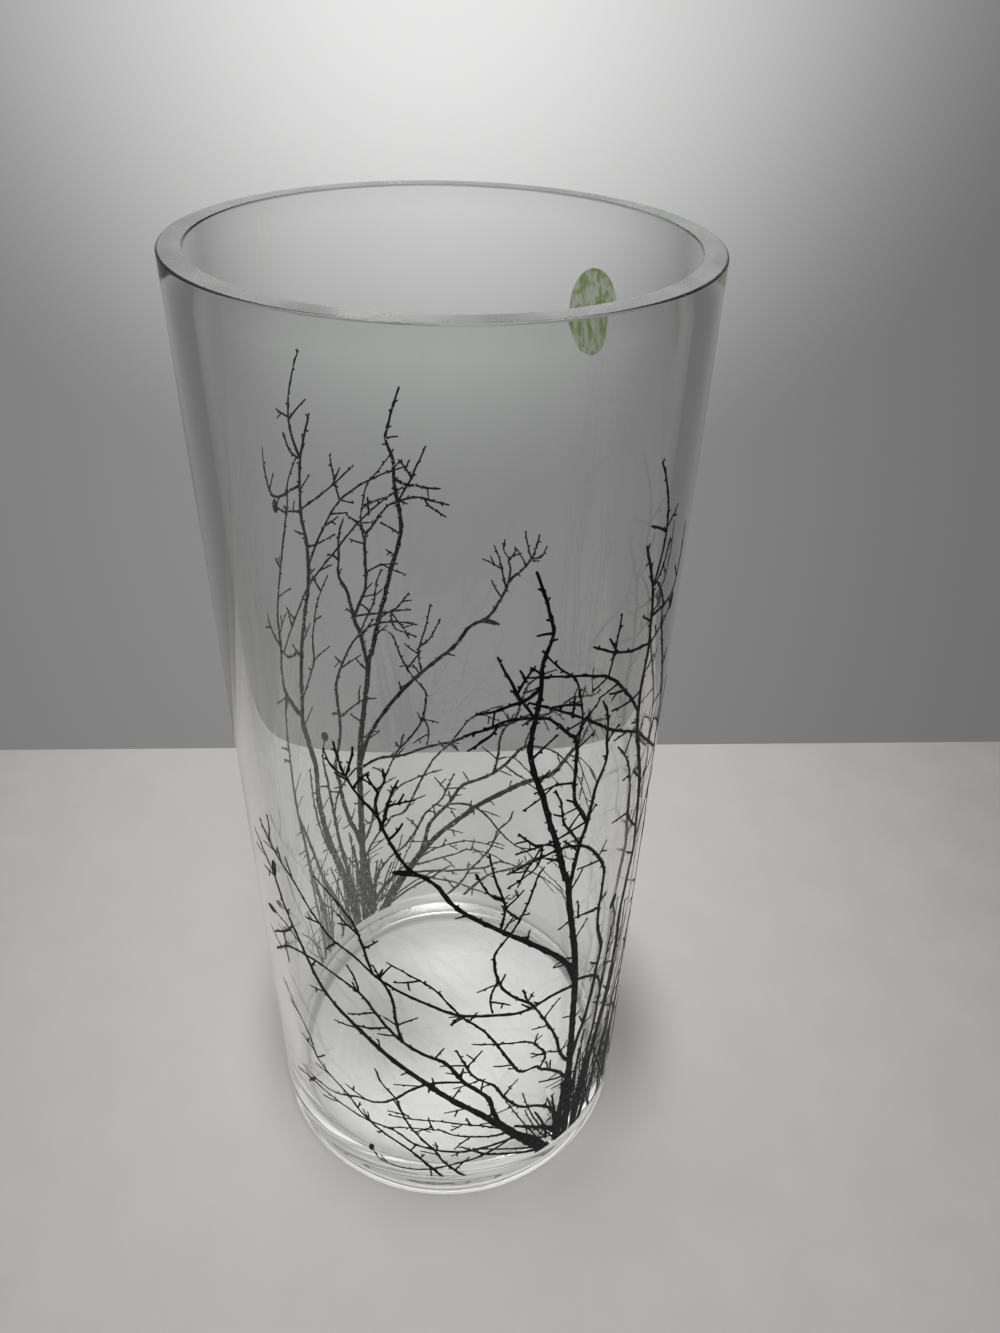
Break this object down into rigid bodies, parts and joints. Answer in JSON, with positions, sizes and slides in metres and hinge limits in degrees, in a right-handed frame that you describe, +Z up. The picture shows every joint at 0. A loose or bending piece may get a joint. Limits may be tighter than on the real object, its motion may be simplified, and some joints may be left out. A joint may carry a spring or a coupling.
{
  "type": "printed glass cylinder vase",
  "caption": "Clear straight-sided glass vase with a thick solid base and black bare-branch silhouettes printed round the outside of its wall.",
  "frame": {"origin": "centre of the flat base, on the surface that the vase stands on", "axes": "+Z up along the vase's axis; -Y towards the side of the wall that the picture shows in front"},
  "size_m": [0.127, 0.1288, 0.3048],
  "materials": {
    "clear_glass": "polished, with a ground satin rim",
    "black_enamel": "semi-matt",
    "label_paper": "matt"
  },
  "bodies": {
    "root": {"glass_vase": "clear_glass", "branch_print_front": "black_enamel", "branch_print_back": "black_enamel", "label": "label_paper"}
  },
  "joints": []
}
